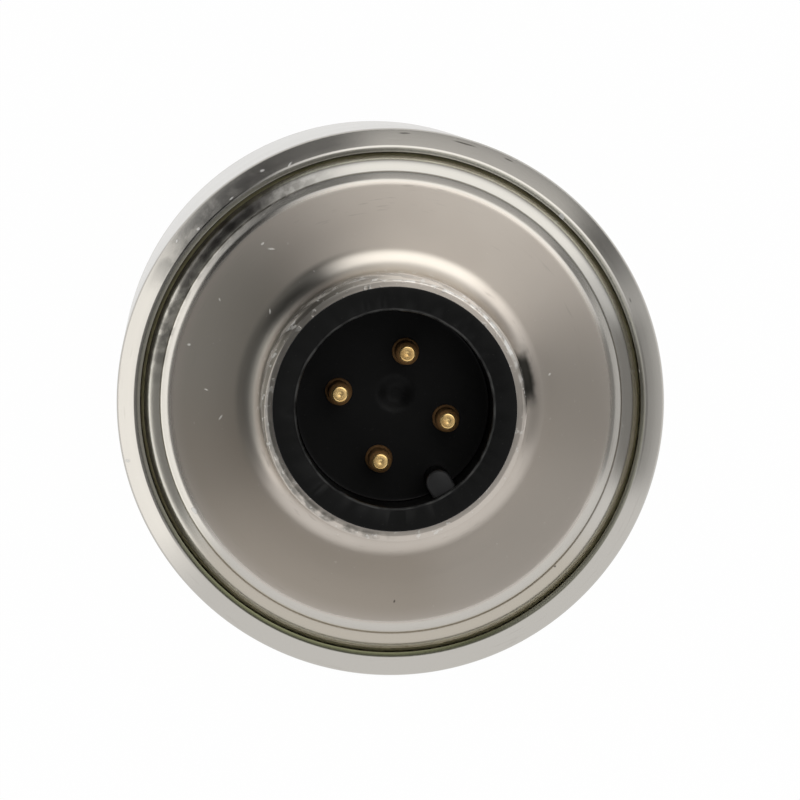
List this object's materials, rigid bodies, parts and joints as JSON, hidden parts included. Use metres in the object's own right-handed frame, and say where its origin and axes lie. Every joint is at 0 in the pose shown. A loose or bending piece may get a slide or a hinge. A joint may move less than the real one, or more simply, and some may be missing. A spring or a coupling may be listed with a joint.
{
  "type": "pressure transmitter",
  "caption": "Round stainless steel pressure transmitter: threaded process stud and hexagon, smooth tubular housing and a round plug connector with pins on the end.",
  "frame": {"origin": "centre of the flat end of the threaded stud, on the axis", "axes": "+Z along the axis from the stud to the plug; the plug's coding key is at -Y and the hexagon has flats at +Y and -Y"},
  "size_m": [0.025, 0.025, 0.0918],
  "materials": {
    "steel": "turned stainless steel with fine concentric tool marks",
    "seal_black": "black fluoroelastomer",
    "seal_olive": "olive brown fluoroelastomer, satin",
    "alumina": "ground white alumina",
    "wire": "tinned wire",
    "black_plastic": "moulded, fine matt grain",
    "resin": "poured black resin",
    "board_green": "solder-mask coated laminate",
    "sleeve_plastic": "natural moulded plastic",
    "solder": "soft solder fillets",
    "chip_black": "moulded component bodies",
    "capacitor_tan": "fired ceramic with tinned ends",
    "tantalum_ochre": "moulded ochre body",
    "gold": "gold-plated turned contacts"
  },
  "bodies": {
    "root": {"process_fitting": "steel", "process_seal_ring": "seal_black", "cell_seal": "seal_black", "cell_diaphragm": "alumina", "cell_body": "alumina", "cell_clamp_ring": "steel", "cell_lead_pins": "wire", "housing_tube": "steel", "connector_cap": "steel", "cap_o_ring": "seal_olive", "contact_carrier": "black_plastic", "carrier_potting": "resin", "connector_board": "board_green", "cell_board": "board_green", "main_board": "board_green", "insulating_sleeve": "sleeve_plastic", "pin_solder": "solder", "signal_chip": "chip_black", "output_chip": "chip_black", "ceramic_capacitors": "capacitor_tan", "chip_resistors": "chip_black", "tantalum_capacitor": "tantalum_ochre", "surge_diodes": "chip_black", "contact_pin_1": "gold", "contact_pin_2": "gold", "contact_pin_3": "gold", "contact_pin_4": "gold"}
  },
  "joints": []
}
